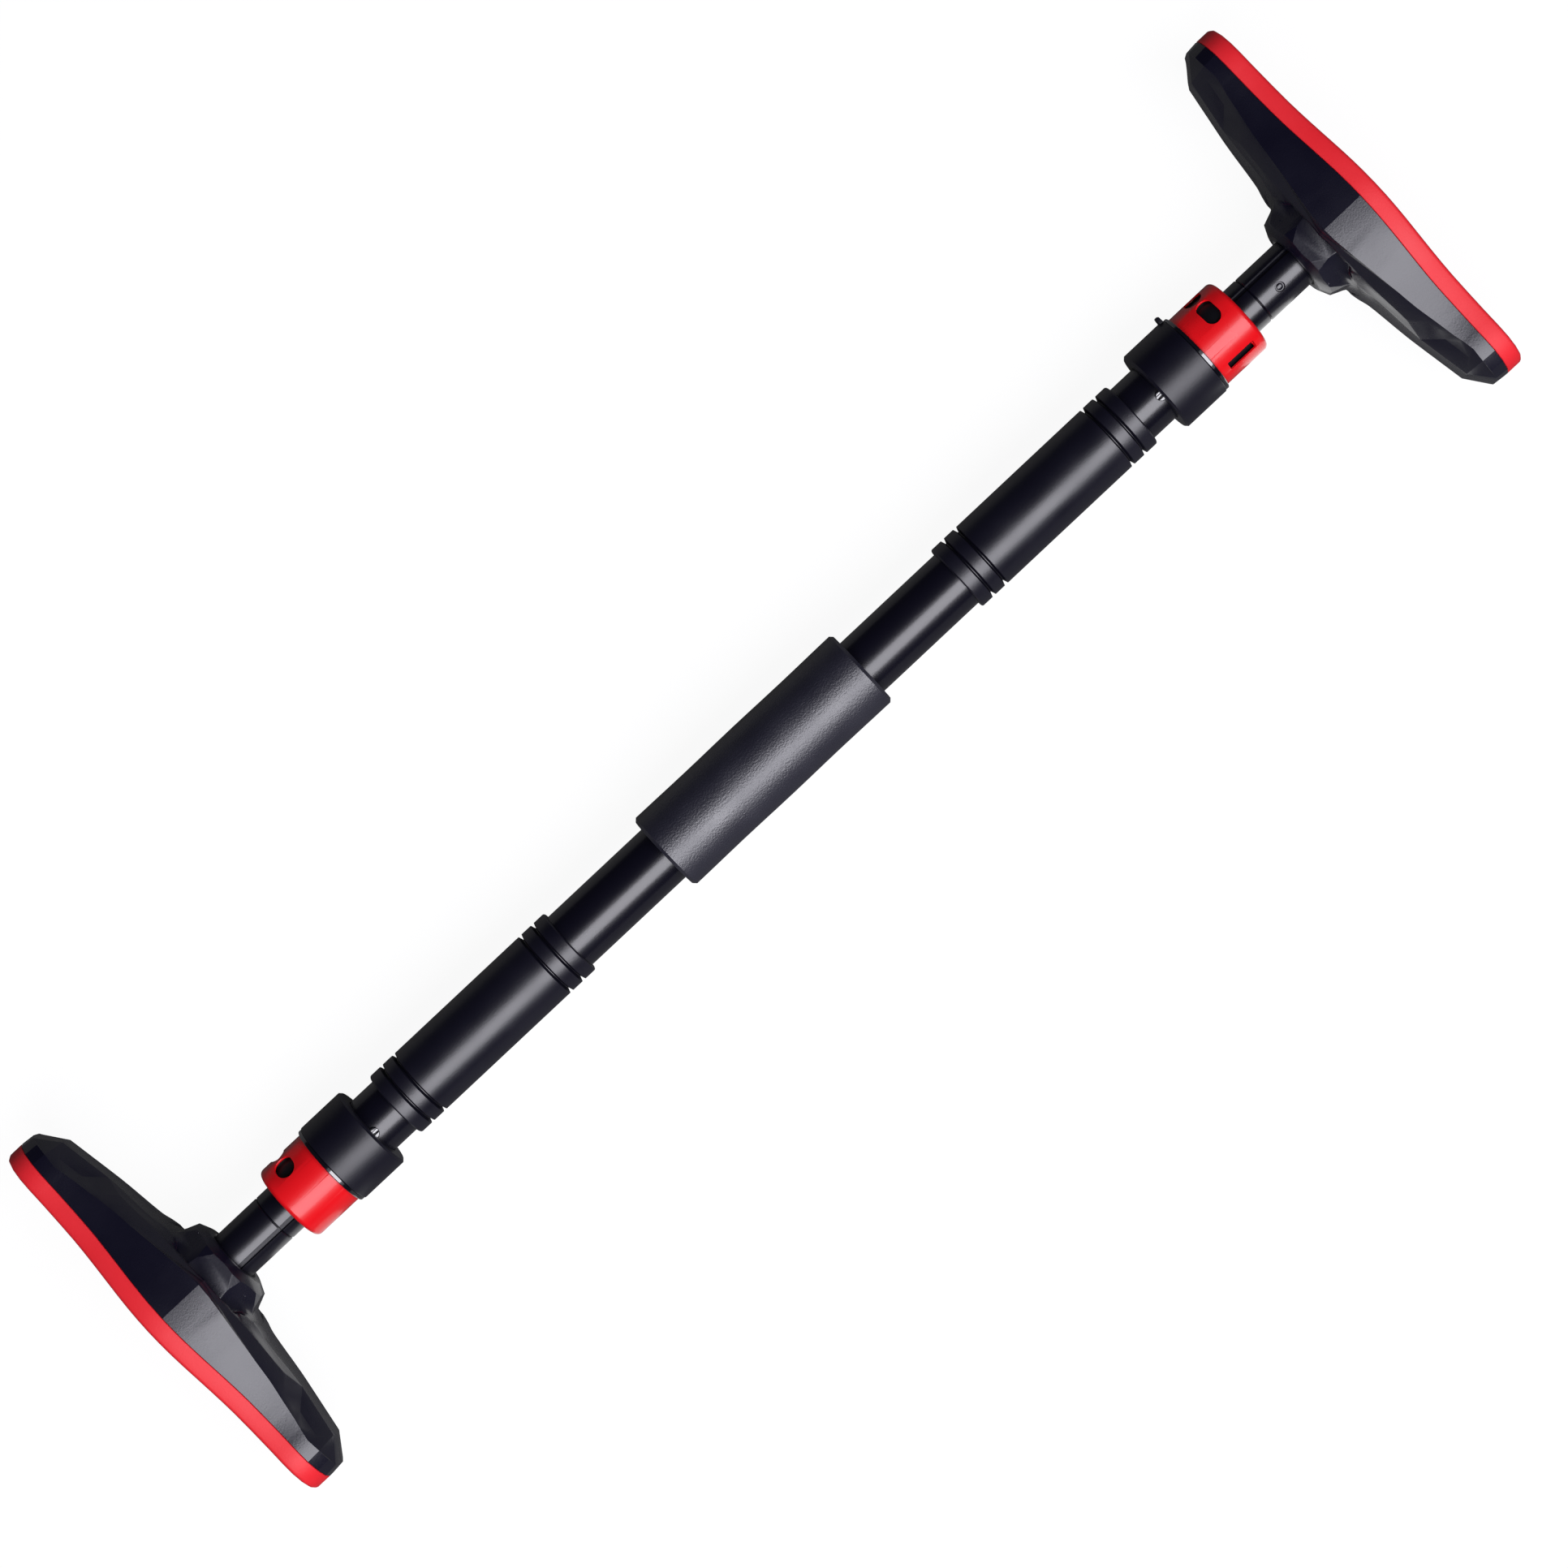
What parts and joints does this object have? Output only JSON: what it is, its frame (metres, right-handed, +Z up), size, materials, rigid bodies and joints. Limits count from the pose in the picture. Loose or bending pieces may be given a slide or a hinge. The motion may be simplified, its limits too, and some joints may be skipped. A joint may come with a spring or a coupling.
{
  "type": "doorway pull up bar",
  "caption": "Telescopic doorway pull up bar with a foam sleeve, ribbed side grips, screw adjusting rings with locking collars, and long faceted feet with soft pads",
  "frame": {"origin": "the middle of the bar, on the surface that the feet lie on", "axes": "+X along the bar towards the end called right, +Y along the feet, +Z up from the surface that the feet lie on"},
  "size_m": [0.8116, 0.222, 0.082],
  "materials": {
    "tube_paint": "satin black powder coat",
    "rod_paint": "gloss black paint",
    "foam": "fine matte foam skin",
    "grip_rubber": "satin rubber",
    "collar_black": "satin moulded",
    "black_plastic": "satin moulded",
    "gloss_black": "gloss moulded",
    "foot_plastic": "satin moulded",
    "red_plastic": "gloss moulded",
    "red_pad": "soft matte rubber",
    "zinc": "zinc plated"
  },
  "bodies": {
    "tube": {"main_tube": "tube_paint", "centre_sleeve": "foam", "grip_right": "grip_rubber", "hub_right": "black_plastic", "collar_key_right": "gloss_black", "grip_left": "grip_rubber", "hub_left": "black_plastic", "collar_key_left": "gloss_black"},
    "collar_right": {"lock_collar_right": "collar_black", "tooth_ring_right": "black_plastic"},
    "ring_right": {"adjusting_ring_right": "red_plastic", "drive_plate_right": "black_plastic"},
    "rod_right": {"rod_right": "rod_paint", "rod_plug_right": "black_plastic", "rod_end_right": "gloss_black", "end_rivet_right": "zinc"},
    "seat_right": {"thrust_washer_right": "zinc"},
    "foot_right": {"foot_right": "foot_plastic", "foot_pad_right": "red_pad"},
    "collar_left": {"lock_collar_left": "collar_black", "tooth_ring_left": "black_plastic"},
    "ring_left": {"adjusting_ring_left": "red_plastic", "drive_plate_left": "black_plastic"},
    "rod_left": {"rod_left": "rod_paint", "rod_plug_left": "black_plastic", "rod_end_left": "gloss_black", "end_rivet_left": "zinc"},
    "seat_left": {"thrust_washer_left": "zinc"},
    "foot_left": {"foot_left": "foot_plastic", "foot_pad_left": "red_pad"}
  },
  "joints": [
    {"name": "collar_slide_right", "type": "slide", "parent": "tube", "child": "collar_right", "axis": [1, 0, 0], "range_m": [-0.008, 0.0042]},
    {"name": "ring_turn_right", "type": "hinge", "parent": "tube", "child": "ring_right", "pos_m": [0.305, 0, 0.041], "axis": [-1, 0, 0], "range_deg": [-3600, 8640]},
    {"name": "rod_screw_right", "type": "slide", "parent": "ring_right", "child": "rod_right", "axis": [1, 0, 0], "range_m": [-0.0302, 0.0722]},
    {"name": "foot_pull_right", "type": "slide", "parent": "rod_right", "child": "seat_right", "axis": [1, 0, 0], "range_m": [0, 0.032]},
    {"name": "foot_turn_right", "type": "hinge", "parent": "seat_right", "child": "foot_right", "pos_m": [0.3816, 0, 0.041], "axis": [1, 0, 0], "continuous": true},
    {"name": "collar_slide_left", "type": "slide", "parent": "tube", "child": "collar_left", "axis": [-1, 0, 0], "range_m": [-0.008, 0.0042]},
    {"name": "ring_turn_left", "type": "hinge", "parent": "tube", "child": "ring_left", "pos_m": [-0.305, 0, 0.041], "axis": [1, 0, 0], "range_deg": [-3600, 8640]},
    {"name": "rod_screw_left", "type": "slide", "parent": "ring_left", "child": "rod_left", "axis": [-1, 0, 0], "range_m": [-0.0302, 0.0722]},
    {"name": "foot_pull_left", "type": "slide", "parent": "rod_left", "child": "seat_left", "axis": [-1, 0, 0], "range_m": [0, 0.032]},
    {"name": "foot_turn_left", "type": "hinge", "parent": "seat_left", "child": "foot_left", "pos_m": [-0.3816, 0, 0.041], "axis": [-1, 0, 0], "continuous": true}
  ],
  "couplings": [
    {"joint": "rod_screw_right", "follows": "ring_turn_right", "m_per_rad": 0.00047746},
    {"joint": "rod_screw_left", "follows": "ring_turn_left", "m_per_rad": 0.00047746}
  ]
}
